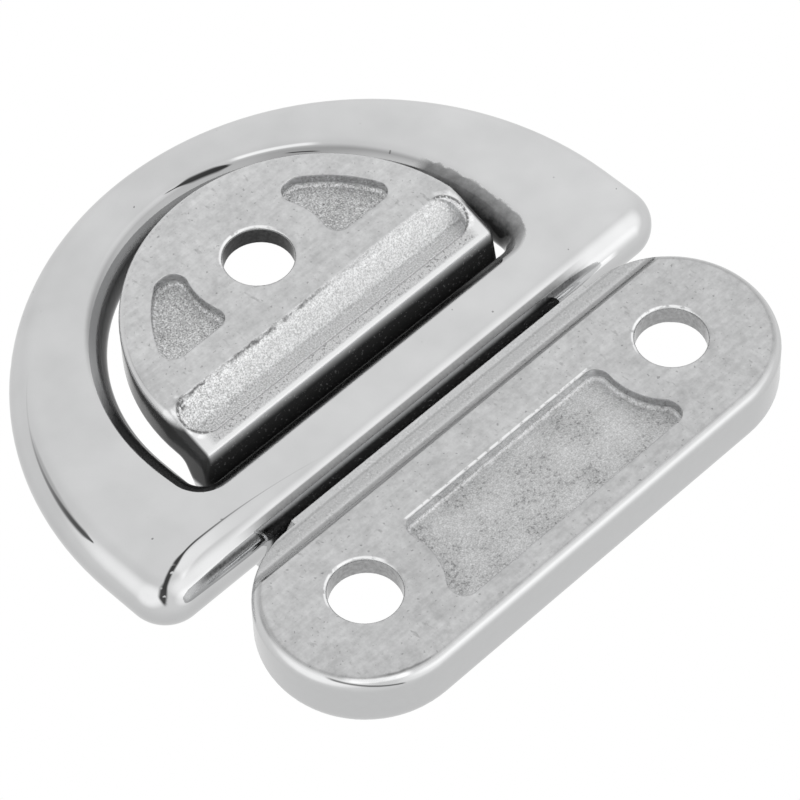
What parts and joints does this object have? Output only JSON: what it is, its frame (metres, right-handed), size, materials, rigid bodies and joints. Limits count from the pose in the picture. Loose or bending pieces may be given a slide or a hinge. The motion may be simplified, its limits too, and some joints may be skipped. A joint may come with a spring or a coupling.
{
  "type": "folding pad eye",
  "caption": "Cast pad eye that bolts to a deck or trailer bed and holds a folding D ring under its arched bridge, for tying down with straps, hooks or shackles.",
  "frame": {"origin": "centre of the bolt circle, in the flat face that lies on the deck", "axes": "+Z out of the deck, over the arched bridge; the ring's straight bar lies along X; -Y towards the single bolt and the ring's crown, +Y towards the pair of bolts"},
  "size_m": [0.082, 0.0792, 0.0174],
  "materials": {
    "cast_base": "polished outside, satin ground deck face, grainy as-cast pockets",
    "polished_ring": "mirror polished"
  },
  "bodies": {
    "base": {"base_casting": "cast_base"},
    "ring": {"d_ring": "polished_ring"}
  },
  "joints": [
    {"name": "ring_hinge", "type": "hinge", "parent": "base", "child": "ring", "pos_m": [0, -0.0066, 0.00725], "axis": [-1, 0, 0], "range_deg": [-4.5, 154]}
  ]
}
